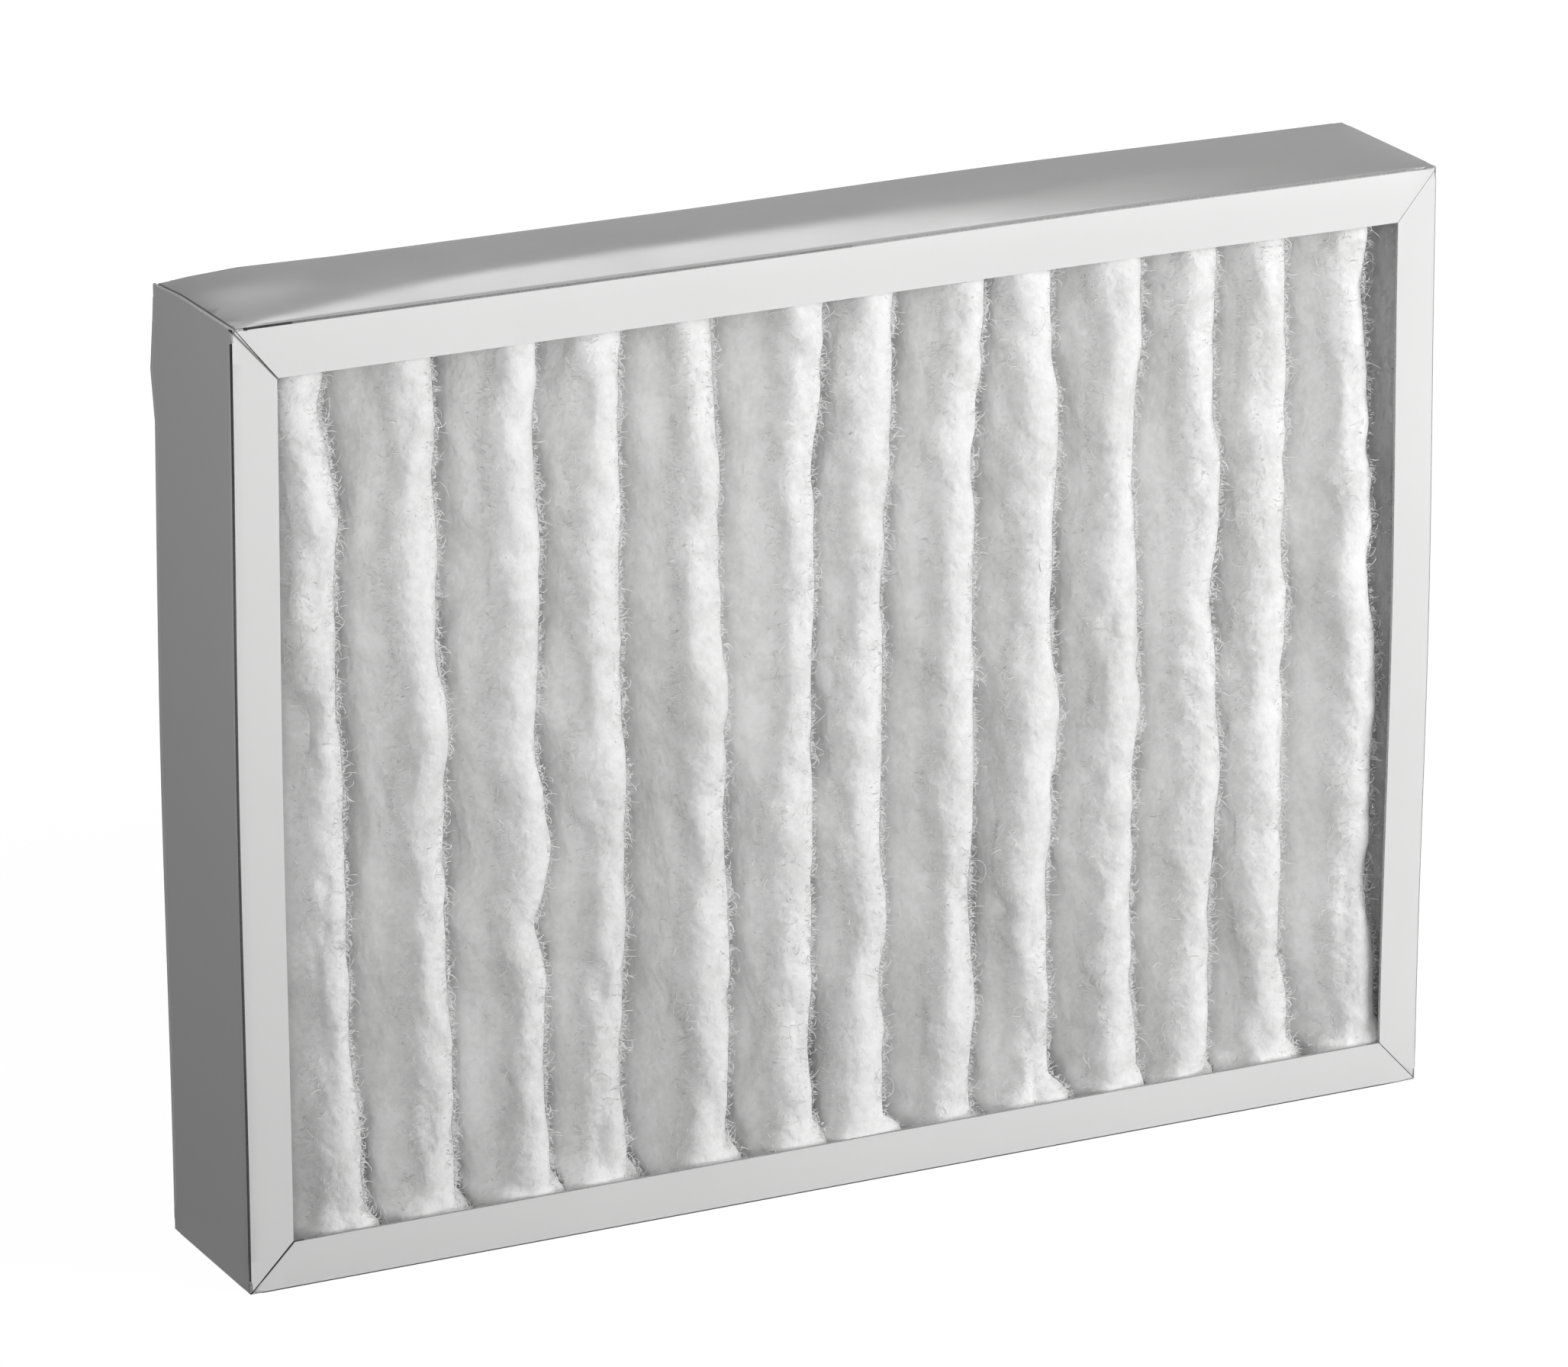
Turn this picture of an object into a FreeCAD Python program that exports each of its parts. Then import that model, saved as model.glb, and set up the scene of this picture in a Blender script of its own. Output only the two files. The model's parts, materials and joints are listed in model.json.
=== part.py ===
import FreeCAD, Part
import math
import os

# A panel air filter: a frame folded from one strip of card holds one pleated sheet of white fleece.
# Millimetres. X runs across the front from left to right, Y from the front face to the back, Z up.
# The origin is the middle of the frame's underside.

# Card frame, outside sizes
width = 305.0
height = 228.0
depth = 44.5
card = 0.9                    # thickness of the card

# Flanges, from the frame's outer edge to the edge of the window
front_flange_left = 11.0
front_flange_top = 12.4
front_flange_right = 10.3
front_flange_bottom = 11.2
back_flange = 11.2

# Creases: the card is cut half through from outside, and the cut stops short of each corner
score = 0.5                   # depth of the cut, which opens to a square groove in the fold
flange_score_stop = 3.1       # uncut end of a flange's crease
wall_score_stop = 4.0         # uncut end of the crease between two walls
fold_radius = 0.9             # outside of the fold where it isn't cut

# Mitres between two flanges: gap at the frame's corner and gap at the window
mitre_top_left = (0.2, 0.25)
mitre_top_right = (0.1, 0.15)
mitre_bottom_left = (0.3, 0.55)
mitre_bottom_right = (0.15, 0.2)
mitre_back = (0.2, 0.3)

# Glued joint in the top left corner: the top wall ends in a flap inside the left wall
flap_length = 20.0
flap_side_clearance = 0.6     # to each flange
flap_taper = 2.5              # cut off the corners of the flap's end
joint_film = 0.15             # adhesive between the flap and the wall
joint_film_margin = 1.5       # bare rim round the film

# Pleated fleece
fleece = 5.3                  # thickness of the sheet
fold_inside = 0.6             # radius inside each fold
front_setback = 2.0           # crests behind the front flanges
back_setback = 1.2            # folds in front of the back flanges
crest_first = 22.0            # first crest's middle from the frame's left edge
crest_last = 17.6             # last crest's middle from the frame's right edge
# Spaces between the crests, as shares of the way from the first to the last
crest_spaces = (24.8, 24.2, 21.9, 23.7, 24.9, 18.0, 24.2, 18.9, 22.5, 19.1, 20.1, 23.1)
# How far each crest moves to the right from its upper end to its lower one
crest_leans = (5.0, 4.0, 2.2, 0.0, 4.0, -2.2, -2.4, -2.2, 1.4, 1.3, 0.4, 1.9, 6.0)
# How far each crest bows to the right at half height
crest_bows = (0.3, 0.6, -0.2, -1.9, 1.1, -0.6, -1.6, -2.5, 0.4, -1.1, 1.5, -0.7, 1.1)
sections = 4                  # heights at which the pleats are drawn

# Adhesive that holds the pleats in the frame
bead_width = 5.0
bead_thickness = 0.7          # between the pleats and the top, bottom and right walls
bead_spacing = 12.5
bead_count = 3                # on each wall
bead_end = 4.0                # from a bead's end to the next wall or flap
pack_clearance = 0.3          # first leg to the glued flap

# Derived sizes
left = -width / 2
right = width / 2
front = -depth / 2
back = depth / 2
joint_x = left + card + joint_film
flap_x = joint_x + card
pack_left = flap_x + pack_clearance
pack_right = right - card - bead_thickness
pack_bottom = card + bead_thickness
pack_top = height - card - bead_thickness
fold_middle = fold_inside + fleece / 2
fold_outside = fold_inside + fleece
past = 1.0                    # how far a cutter reaches into open air


def vector(x, y, z=0.0):
    return FreeCAD.Vector(x, y, z)


def block(corner, opposite):
    """A box between two opposite corners."""
    low = [min(a, b) for a, b in zip(corner, opposite)]
    high = [max(a, b) for a, b in zip(corner, opposite)]
    size = [h - l for l, h in zip(low, high)]
    return Part.makeBox(*size, FreeCAD.Vector(*low))


def prism(points, along):
    """A straight prism on a polygon."""
    return Part.Face(Part.makePolygon(points + [points[0]])).extrude(along)


def groove(start, end, inward):
    """The square groove that a cut crease opens to, along an outer edge of the frame."""
    return block(start, end + inward * score)


def rounding(start, end, inward):
    """What rounds an outer edge where the crease isn't cut."""
    bar = block(start, end + inward * fold_radius)
    run = end - start
    pipe = Part.makeCylinder(fold_radius, run.Length, start + inward * fold_radius, run)
    return bar.cut(pipe)


def crease(start, end, inward, stop):
    """Cutters for one fold: a groove with a rounded stretch at each end."""
    step = (end - start).normalize() * stop
    return [
        rounding(start, start + step, inward),
        groove(start + step, end - step, inward),
        rounding(end - step, end, inward),
    ]


def flange_creases(face_y, into):
    """Cutters for the four folds round the front or the back face."""
    cutters = []
    folds = (
        (vector(joint_x, face_y, height), vector(right, face_y, height), vector(0, into, -1)),
        (vector(left, face_y, 0), vector(right, face_y, 0), vector(0, into, 1)),
        (vector(left, face_y, 0), vector(left, face_y, height), vector(1, into, 0)),
        (vector(right, face_y, 0), vector(right, face_y, height), vector(-1, into, 0)),
    )
    for start, end, inward in folds:
        cutters += crease(start, end, inward, flange_score_stop)
    return cutters


def wall_creases():
    """Cutters for the folds between neighbouring walls, and for the one that turns the flap down."""
    cutters = []
    folds = (
        (left, 0.0, vector(1, 0, 1)),
        (right, 0.0, vector(-1, 0, 1)),
        (right, height, vector(-1, 0, -1)),
        (joint_x, height, vector(1, 0, -1)),
    )
    for x, z, inward in folds:
        cutters += crease(vector(x, front, z), vector(x, back, z), inward, wall_score_stop)
    return cutters


def mitre(corner, window, gaps, face_y, into):
    """The narrow wedge between two flanges, from the frame's corner to the window's."""
    start = vector(corner[0], 0, corner[1])
    end = vector(window[0], 0, window[1])
    way = (end - start).normalize()
    across = vector(way.z, 0, -way.x)
    near, far = start - way * past, end + way * past
    outline = [
        near + across * (gaps[0] / 2), far + across * (gaps[1] / 2),
        far - across * (gaps[1] / 2), near - across * (gaps[0] / 2),
    ]
    lift = vector(0, face_y - into * past, 0)
    return prism([point + lift for point in outline], vector(0, into * (card + past), 0))


def mitres(face_y, into, sizes, gaps):
    """The four mitres of one face. Sizes and gaps go left, top, right, bottom and clockwise."""
    inner_left, inner_right = left + sizes[0], right - sizes[2]
    inner_top, inner_bottom = height - sizes[1], sizes[3]
    corners = (
        ((left + card + joint_film / 2, height), (inner_left, inner_top)),
        ((right, height), (inner_right, inner_top)),
        ((right, 0.0), (inner_right, inner_bottom)),
        ((left, 0.0), (inner_left, inner_bottom)),
    )
    return [mitre(corner, window, gap, face_y, into) for (corner, window), gap in zip(corners, gaps)]


def window(face_y, into, sizes):
    """The opening inside the flanges of one face."""
    return block(
        (left + sizes[0], face_y - into * past, sizes[3]),
        (right - sizes[2], face_y + into * (card + past), height - sizes[1]),
    )


def card_frame():
    """The frame, folded from one strip of card: four walls, eight flanges and a glue flap."""
    body = block((left, front, 0), (right, back, height))
    inside = block((left + card, front + card, card), (right - card, back - card, height - card))
    front_sizes = (front_flange_left, front_flange_top, front_flange_right, front_flange_bottom)
    back_sizes = (back_flange,) * 4
    front_gaps = (mitre_top_left, mitre_top_right, mitre_bottom_right, mitre_bottom_left)
    back_gaps = (mitre_back,) * 4
    joint_slot = block((left + card, front - past, height - card), (joint_x, back + past, height + past))
    cutters = [inside, joint_slot]
    cutters += [window(front, 1, front_sizes), window(back, -1, back_sizes)]
    cutters += flange_creases(front, 1) + flange_creases(back, -1) + wall_creases()
    cutters += mitres(front, 1, front_sizes, front_gaps) + mitres(back, -1, back_sizes, back_gaps)
    return body.cut(cutters).fuse(glue_flap()).removeSplitter()


def glue_flap():
    """The end of the top wall, turned down inside the left wall."""
    near = front + card + flap_side_clearance
    far = back - card - flap_side_clearance
    end_z = height - card - flap_length
    outline = [
        vector(joint_x, near, height - card), vector(joint_x, far, height - card),
        vector(joint_x, far, end_z + flap_taper), vector(joint_x, far - flap_taper, end_z),
        vector(joint_x, near + flap_taper, end_z), vector(joint_x, near, end_z + flap_taper),
    ]
    return prism(outline, vector(card, 0, 0))


def crest_middles(down):
    """The X of each front crest, at a share of the way down from the top."""
    places = []
    passed = 0.0
    share = (width - crest_first - crest_last) / sum(crest_spaces)
    for space, lean, bow in zip(crest_spaces + (0.0,), crest_leans, crest_bows):
        straight = left + crest_first + share * passed
        places.append(straight + lean * (down - 0.5) + bow * 4 * down * (1 - down))
        passed += space
    return places


def fold_centres(down):
    """The middle of every fold in order, back and front by turns, with the side it lies on."""
    front_y = front + card + front_setback + fold_outside
    back_y = back - card - back_setback - fold_outside
    crests = crest_middles(down)
    first = pack_left + fleece / 2 + fold_middle
    last = pack_right - fleece / 2 - fold_middle
    backs = [first] + [(a + b) / 2 for a, b in zip(crests, crests[1:])] + [last]
    centres = []
    for number, back_x in enumerate(backs):
        centres.append((vector(back_x, back_y), 1))
        if number < len(crests):
            centres.append((vector(crests[number], front_y), -1))
    return centres


def leg_headings(centres):
    """The direction of each leg, in radians from +X. The end legs lie flat along the side walls."""
    headings = [math.pi / 2]
    for (here, side), (there, _) in zip(centres, centres[1:]):
        way = there - here
        headings.append(math.atan2(way.y, way.x) - math.asin(2 * side * fold_middle / way.Length))
    return headings + [-math.pi / 2]


def face_points(centres, headings, offset):
    """Start, middle and end of each fold on one face of the sheet, offset to the right of its middle."""
    folds = []
    for (centre, side), came, goes in zip(centres, headings, headings[1:]):
        reach = side * fold_middle - offset
        turn = [came, (came + goes) / 2, goes]
        folds.append([centre - vector(math.sin(a), -math.cos(a)) * reach for a in turn])
    return folds


def face_edges(folds, start, end):
    """Straight legs and round folds of one face of the sheet."""
    edges = []
    here = start
    for first, middle, last in folds:
        edges.append(Part.LineSegment(here, first).toShape())
        edges.append(Part.Arc(first, middle, last).toShape())
        here = last
    edges.append(Part.LineSegment(here, end).toShape())
    return edges


def pleat_outline(down):
    """The closed outline of the pleated sheet at one height."""
    centres = fold_centres(down)
    headings = leg_headings(centres)
    tip_y = front + card + front_setback
    inner = face_points(centres, headings, fleece / 2)
    outer = face_points(centres, headings, -fleece / 2)
    inner_ends = vector(pack_left + fleece, tip_y), vector(pack_right - fleece, tip_y)
    outer_ends = vector(pack_left, tip_y), vector(pack_right, tip_y)
    edges = face_edges(inner, *inner_ends)
    edges.append(Part.LineSegment(inner_ends[1], outer_ends[1]).toShape())
    edges += face_edges(outer, *outer_ends)
    edges.append(Part.LineSegment(outer_ends[0], inner_ends[0]).toShape())
    wire = Part.Wire(Part.__sortEdges__(edges))
    wire.translate(vector(0, 0, pack_top + (pack_bottom - pack_top) * down))
    return wire


def pleated_fleece():
    """The whole pleated sheet, whose crests lean and bow on their way down."""
    outlines = [pleat_outline(number / (sections - 1)) for number in range(sections)]
    solid, ruled = True, True
    return Part.makeLoft(outlines, solid, ruled)


def bead(base, away, thickness, run):
    """One pressed bead of adhesive: flat where it touches, round at its sides."""
    half = (bead_width - thickness) / 2
    bulge = bead_width / 2

    def point(across, up):
        return base + vector(0, across) + away * up

    outline = [
        Part.LineSegment(point(-half, 0), point(half, 0)),
        Part.Arc(point(half, 0), point(bulge, thickness / 2), point(half, thickness)),
        Part.LineSegment(point(half, thickness), point(-half, thickness)),
        Part.Arc(point(-half, thickness), point(-bulge, thickness / 2), point(-half, 0)),
    ]
    return Part.Face(Part.Wire([line.toShape() for line in outline])).extrude(run)


def beads(start, end, away, thickness):
    """Parallel beads along one wall, from start to end. Away points from the wall to the pleats."""
    places = [bead_spacing * (number - (bead_count - 1) / 2) for number in range(bead_count)]
    return Part.makeCompound([bead(start + vector(0, y), away, thickness, end - start) for y in places])


def joint_adhesive():
    """The thin film that holds the flap to the left wall."""
    reach = depth / 2 - card - flap_side_clearance - joint_film_margin
    return block(
        (left + card, -reach, height - card - flap_length + flap_taper + joint_film_margin),
        (joint_x, reach, height - card - joint_film_margin),
    )


def build():
    """Every piece of the filter by name."""
    near, far = pack_left + bead_end, pack_right - bead_end
    low, high = card + bead_end, height - card - bead_end
    below_flap = height - card - flap_length - bead_end
    ceiling, floor = height - card, card
    left_wall, right_wall = left + card, right - card
    left_gap = pack_left - left_wall
    runs = {
        "adhesive_top": ((near, 0, ceiling), (far, 0, ceiling), (0, 0, -1), bead_thickness),
        "adhesive_bottom": ((near, 0, floor), (far, 0, floor), (0, 0, 1), bead_thickness),
        "adhesive_left": ((left_wall, 0, low), (left_wall, 0, below_flap), (1, 0, 0), left_gap),
        "adhesive_right": ((right_wall, 0, low), (right_wall, 0, high), (-1, 0, 0), bead_thickness),
    }
    pieces = {"card_frame": card_frame(), "pleated_fleece": pleated_fleece()}
    for name, (start, end, away, thickness) in runs.items():
        pieces[name] = beads(vector(*start), vector(*end), vector(*away), thickness)
    pieces["joint_adhesive"] = joint_adhesive()
    return pieces


os.makedirs("parts", exist_ok=True)
for name, shape in build().items():
    shape.exportStep("parts/" + name + ".step")
    print(name, shape.ShapeType, len(shape.Solids), "valid", shape.isValid(), "volume", round(shape.Volume, 1))
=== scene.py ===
import json
import math

import bpy
import numpy as np
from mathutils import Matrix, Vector

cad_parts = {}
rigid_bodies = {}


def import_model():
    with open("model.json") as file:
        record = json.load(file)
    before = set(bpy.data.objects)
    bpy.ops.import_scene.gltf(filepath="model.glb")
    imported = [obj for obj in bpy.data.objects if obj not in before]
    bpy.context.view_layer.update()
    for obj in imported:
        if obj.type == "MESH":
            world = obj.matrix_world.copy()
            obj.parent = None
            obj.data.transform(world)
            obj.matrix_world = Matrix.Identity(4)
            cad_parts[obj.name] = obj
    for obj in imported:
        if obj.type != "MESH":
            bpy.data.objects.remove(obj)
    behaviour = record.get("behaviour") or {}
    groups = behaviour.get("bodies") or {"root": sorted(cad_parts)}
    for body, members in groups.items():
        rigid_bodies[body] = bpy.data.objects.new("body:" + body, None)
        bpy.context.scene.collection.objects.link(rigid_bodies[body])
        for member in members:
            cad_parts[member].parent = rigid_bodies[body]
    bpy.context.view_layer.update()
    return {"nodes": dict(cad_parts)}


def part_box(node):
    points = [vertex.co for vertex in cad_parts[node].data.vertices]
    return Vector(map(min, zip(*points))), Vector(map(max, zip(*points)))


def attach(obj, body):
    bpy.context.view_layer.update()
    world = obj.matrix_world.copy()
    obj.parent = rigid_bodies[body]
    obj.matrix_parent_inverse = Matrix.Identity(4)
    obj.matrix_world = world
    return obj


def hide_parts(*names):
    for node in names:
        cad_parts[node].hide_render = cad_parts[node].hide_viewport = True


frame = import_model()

# A panel air filter: a frame folded from white coated card holds one pleated sheet of white fleece.
# Shapes are worked out in millimetres and made in metres. X runs to the right, Y to the back, Z up.

MM = 0.001
PER_METRE = 1000.0
FRAME_LOW, FRAME_HIGH = (np.array(corner) * PER_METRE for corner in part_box("card_frame"))
PACK_LOW, PACK_HIGH = (np.array(corner) * PER_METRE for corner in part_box("pleated_fleece"))

# The pleats, as the part's source draws them
FLEECE = 5.3                  # thickness of the sheet
FOLD_INSIDE = 0.6             # radius inside each fold
CREST_FIRST = 22.0            # first crest's middle from the frame's left edge
CREST_LAST = 17.6             # last crest's middle from the frame's right edge
CREST_SPACES = (24.8, 24.2, 21.9, 23.7, 24.9, 18.0, 24.2, 18.9, 22.5, 19.1, 20.1, 23.1)
CREST_LEANS = (5.0, 4.0, 2.2, 0.0, 4.0, -2.2, -2.4, -2.2, 1.4, 1.3, 0.4, 1.9, 6.0)
CREST_BOWS = (0.3, 0.6, -0.2, -1.9, 1.1, -0.6, -1.6, -2.5, 0.4, -1.1, 1.5, -0.7, 1.1)
FOLD_MIDDLE = FOLD_INSIDE + FLEECE / 2
FOLD_OUTSIDE = FOLD_INSIDE + FLEECE
CARD_ROOM = 1.0               # how far the sheet keeps from the frame's front and back faces
SHEET_LOW = np.array((PACK_LOW[0], FRAME_LOW[1] + CARD_ROOM))
SHEET_HIGH = np.array((PACK_HIGH[0], FRAME_HIGH[1] - CARD_ROOM))

# How finely the sheet is drawn. Where there are two numbers, 1 is the front face and -1 the back face.
ROW_STEP = 1.72               # from one row of points to the next
FOOT_ROWS = (13.0, 14)        # height of the lowest part and how many steps it has
OUTER_STEPS = {1: 14, -1: 7}  # round the outside of a fold
INNER_STEPS = 2               # round its inside
LEG_STEPS = {1: 9, -1: 4}
LEG_CROWDING = 1.5            # how much closer the steps stand next to a crest

# The free room next to the sheet
INSIDE_ROOM = 0.5             # inside a fold, as a share of its radius
OUTSIDE_ROOM = 5.0            # outside a fold
WALL_ROOM = 3.0               # beside the legs that lie along the side walls
OPEN_ROOM = 4.0               # the long strays grow where there is more than this

# The sheet's unevenness
CREST_BENDS = (               # crest, share of the height from the top, half the bend's height, reach
    (1, 0.10, 9, -2.2), (1, 0.24, 12, 0.9), (2, 0.36, 18, -1.2), (3, 0.28, 12, 1.0),
    (3, 0.47, 10, -1.5), (3, 0.59, 9, 1.4), (3, 0.67, 7, -1.5), (3, 0.76, 11, 1.6),
    (4, 0.60, 26, 1.9), (6, 0.53, 14, -0.8), (6, 0.75, 12, -0.8), (7, 0.73, 10, 1.6),
    (8, 0.26, 12, -1.5), (8, 0.75, 45, 1.3), (9, 0.05, 16, -1.4), (9, 0.72, 20, -1.4),
    (10, 0.27, 24, -1.4), (11, 0.35, 10, 1.2), (11, 0.63, 11, 1.3), (12, 0.90, 12, 1.0),
    (13, 0.10, 22, -0.9), (13, 0.30, 14, -1.2), (13, 0.44, 10, -1.4), (13, 0.60, 10, 0.5),
    (13, 0.85, 24, -0.8),
)
DENTS = (                     # crest, place beside it, share of the height, half width, half height, depth
    (9, -8.0, 0.745, 2.6, 3.0, 3.0), (9, -4.0, 0.775, 2.0, 5.0, -1.6), (10, -7.0, 0.74, 3.0, 4.0, 1.8),
    (7, -10.0, 0.70, 5.0, 5.0, 1.6), (4, -6.0, 0.13, 4.0, 9.0, 1.4), (12, -7.0, 0.30, 3.0, 3.0, 1.6),
    (13, -10.0, 0.36, 7.0, 4.0, 1.8), (11, -8.0, 0.20, 4.0, 8.0, 1.5), (1, -6.0, 0.42, 6.0, 10.0, 3.2),
    (1, -6.0, 0.70, 6.0, 26.0, 2.6), (3, -8.0, 0.84, 4.0, 4.0, 1.8), (6, -9.0, 0.48, 5.0, 9.0, 1.6),
    (5, -7.0, 0.62, 4.0, 8.0, 1.6), (8, -8.0, 0.40, 4.0, 10.0, 1.5), (10, -9.0, 0.52, 5.0, 7.0, 1.7),
)
CREST_WANDER = ((30.0, 0.5), (11.0, 0.3))       # spacing and reach of a crest's smaller bends
CREST_SETBACK = ((38.0, 0.5), (15.0, 0.25))     # the same, to the front and back
LUMPS = ((22.0, 32.0, 1.3), (11.0, 18.0, 1.6), (4.5, 6.5, 0.85))   # across, down and reach
LUMPS_FREE = (0.25, 4.0)      # their share where there is no free room, and the room that adds 1 to it
LUMPS_RIGHT = 0.5             # how much flatter the lumps are on the sides that face right
FOOT_REACH = 8.0              # how far the lower end spreads
FOOT_HEIGHT = 11.0
FOOT_SPREAD = (15.0, 60.0, 0.75, 0.6)           # its share, which varies: across, down, middle and swing
FOOT_RISE = (11.0, 80.0, 1.0, 0.45)             # the same for its height
FOOT_FORWARD = 0.15           # the share of it that goes to the front and back
HEAD_REACH = 1.0              # how far the upper end spreads
HEAD_HEIGHT = 5.0
END_PRESSED = 2.2             # how much thinner the legs along the side walls are pressed
END_LUMPS = 0.3               # the share of their lumps that is left
ROOM_USED = 0.88              # the most of the free room that a lump takes up

# Loose fibres: how many, straight steps in each, shortest and longest, how far they curl in all,
# how far they stand off, how thick they are and how much each turns away from its neighbours
LOOSE = {
    "lint": {"count": 5000, "steps": 3, "length": (1.2, 3.2), "curl": (0.5, 2.2), "lift": (0.0, 0.5),
             "radius": 0.05, "stray": 0.9},
    "fuzz": {"count": 55000, "steps": 2, "length": (0.7, 2.3), "curl": (0.3, 1.6), "lift": (0.5, 2.0),
             "radius": 0.085, "stray": 0.9},
    "wisps": {"count": 15000, "steps": 4, "length": (1.6, 5.0), "curl": (1.0, 4.2), "lift": (0.6, 2.0),
              "radius": 0.08, "stray": 1.5},
    "strays": {"count": 220, "steps": 16, "length": (6.0, 15.0), "curl": (3.0, 8.5), "lift": (0.2, 0.8),
               "radius": 0.07, "stray": 3.0},
}
FIBRE_FACES = ((1, 0.88, "front"), (-1, 0.12, "back"))      # face, share of the fibres on it and its name
FIBRE_THICKNESS = (0.7, 1.3)      # thinnest and thickest, as a share of the radius
FIBRE_ROOT = 0.12                 # how deep a fibre starts in the sheet
FIBRE_TWIST = 0.06                # how much each step winds out of the curl's plane
FIBRE_ROOM = (0.2, 0.25, 0.2)     # how far fibres keep from the pack's box, across, to the front and up
FIBRE_CREST = (0.78, 0.10)        # where a crest begins and over how much more, as shares of the depth
COMBING = (1.6 * math.pi, 5.0, 7.0)     # how far the fibres' way turns, and its spacing across and down
TUFTS = (3.5, 5.0)                # spacing of the tufts, across and down
PIECE_LIMIT = 190000              # the most triangles in one piece

# The table that all unevenness is taken from, and which part of it each kind takes
TABLE_SIZE = 256
RANDOM_TABLE = np.random.default_rng(11).uniform(-1, 1, (TABLE_SIZE, TABLE_SIZE))
LAYER_SHIFT = (37, 91)
LANE_SHIFT = 7
BACK_SHIFT = 5000.0           # how far along the back face's part lies, in mm
FRONT_FOLD_LAYER, BACK_FOLD_LAYER, SETBACK_LAYER, LUMP_LAYER = 1, 3, 5, 8
SPREAD_LAYER, RISE_LAYER, TUFT_LAYER, COMB_LAYER = 13, 14, 20, 22


def smooth(share):
    return share * share * (3 - 2 * share)


def noise(u, v, layer):
    """Smooth lumps between -1 and 1, about one to each unit of u and of v."""
    i, j = np.floor(u).astype(int), np.floor(v).astype(int)
    across, down = smooth(u - i), smooth(v - j)
    i, j = i + LAYER_SHIFT[0] * layer, j + LAYER_SHIFT[1] * layer

    def knot(a, b):
        return RANDOM_TABLE[a % TABLE_SIZE, b % TABLE_SIZE]

    upper = knot(i, j) * (1 - across) + knot(i + 1, j) * across
    lower = knot(i, j + 1) * (1 - across) + knot(i + 1, j + 1) * across
    return upper * (1 - down) + lower * down


def varied(along, depth, pattern, layer):
    """A value that swings round its middle from place to place."""
    across, down, middle, swing = pattern
    return middle + swing * noise(along / across, depth / down, layer)


def wander(depths, lanes, bends, layer):
    """A gently bending line for each lane, at each depth below the top."""
    total = np.zeros((len(depths), lanes))
    lane = np.arange(lanes)[None, :] * LANE_SHIFT + 0.5
    for number, (spacing, reach) in enumerate(bends):
        total += reach * noise(depths[:, None] / spacing, lane, layer + number)
    return total


def mesh_object(name, points, faces):
    """A new object, its place in its mesh, from points in millimetres."""
    mesh = bpy.data.meshes.new(name)
    mesh.from_pydata((np.asarray(points) * MM).tolist(), [], faces)
    mesh.validate()
    mesh.shade_smooth()
    piece = bpy.data.objects.new(name, mesh)
    bpy.context.scene.collection.objects.link(piece)
    return piece


# The pleated sheet


def crest_middles(down):
    """The X of each front crest, rows by crests, before it wanders."""
    passed = np.concatenate(([0.0], np.cumsum(CREST_SPACES)))
    share = (FRAME_HIGH[0] - FRAME_LOW[0] - CREST_FIRST - CREST_LAST) / passed[-1]
    straight = FRAME_LOW[0] + CREST_FIRST + share * passed
    down = down[:, None]
    return straight + np.array(CREST_LEANS) * (down - 0.5) + np.array(CREST_BOWS) * 4 * down * (1 - down)


def fold_centres(down, depths):
    """Rows by folds by X and Y. The folds go back, front, back and so on, from the left."""
    crests = crest_middles(down) + wander(depths, len(CREST_LEANS), CREST_WANDER, FRONT_FOLD_LAYER)
    for crest, share, half, reach in CREST_BENDS:
        away = (depths - share * depths[-1]) / half
        crests[:, crest - 1] += reach * np.exp(-away * away)
    count = crests.shape[1]
    backs = (crests[:, :-1] + crests[:, 1:]) / 2 + wander(depths, count - 1, CREST_WANDER, BACK_FOLD_LAYER)
    centres = np.zeros((len(down), 2 * count + 1, 2))
    centres[:, 1::2, 0] = crests
    centres[:, 2:-1:2, 0] = backs
    centres[:, 0, 0] = PACK_LOW[0] + FLEECE / 2 + FOLD_MIDDLE
    centres[:, -1, 0] = PACK_HIGH[0] - FLEECE / 2 - FOLD_MIDDLE
    centres[:, 1::2, 1] = PACK_LOW[1] + FOLD_OUTSIDE + wander(depths, count, CREST_SETBACK, SETBACK_LAYER)
    centres[:, 0::2, 1] = PACK_HIGH[1] - FOLD_OUTSIDE
    return centres


def leg_headings(centres, sides):
    """The direction of each leg, rows by legs. The end legs lie flat along the side walls."""
    way = centres[:, 1:] - centres[:, :-1]
    slant = np.arcsin(2 * sides[:-1] * FOLD_MIDDLE / np.hypot(way[..., 0], way[..., 1]))
    between = np.arctan2(way[..., 1], way[..., 0]) - slant
    end = np.full((len(centres), 1), math.pi / 2)
    return np.hstack([end, between, -end])


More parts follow.
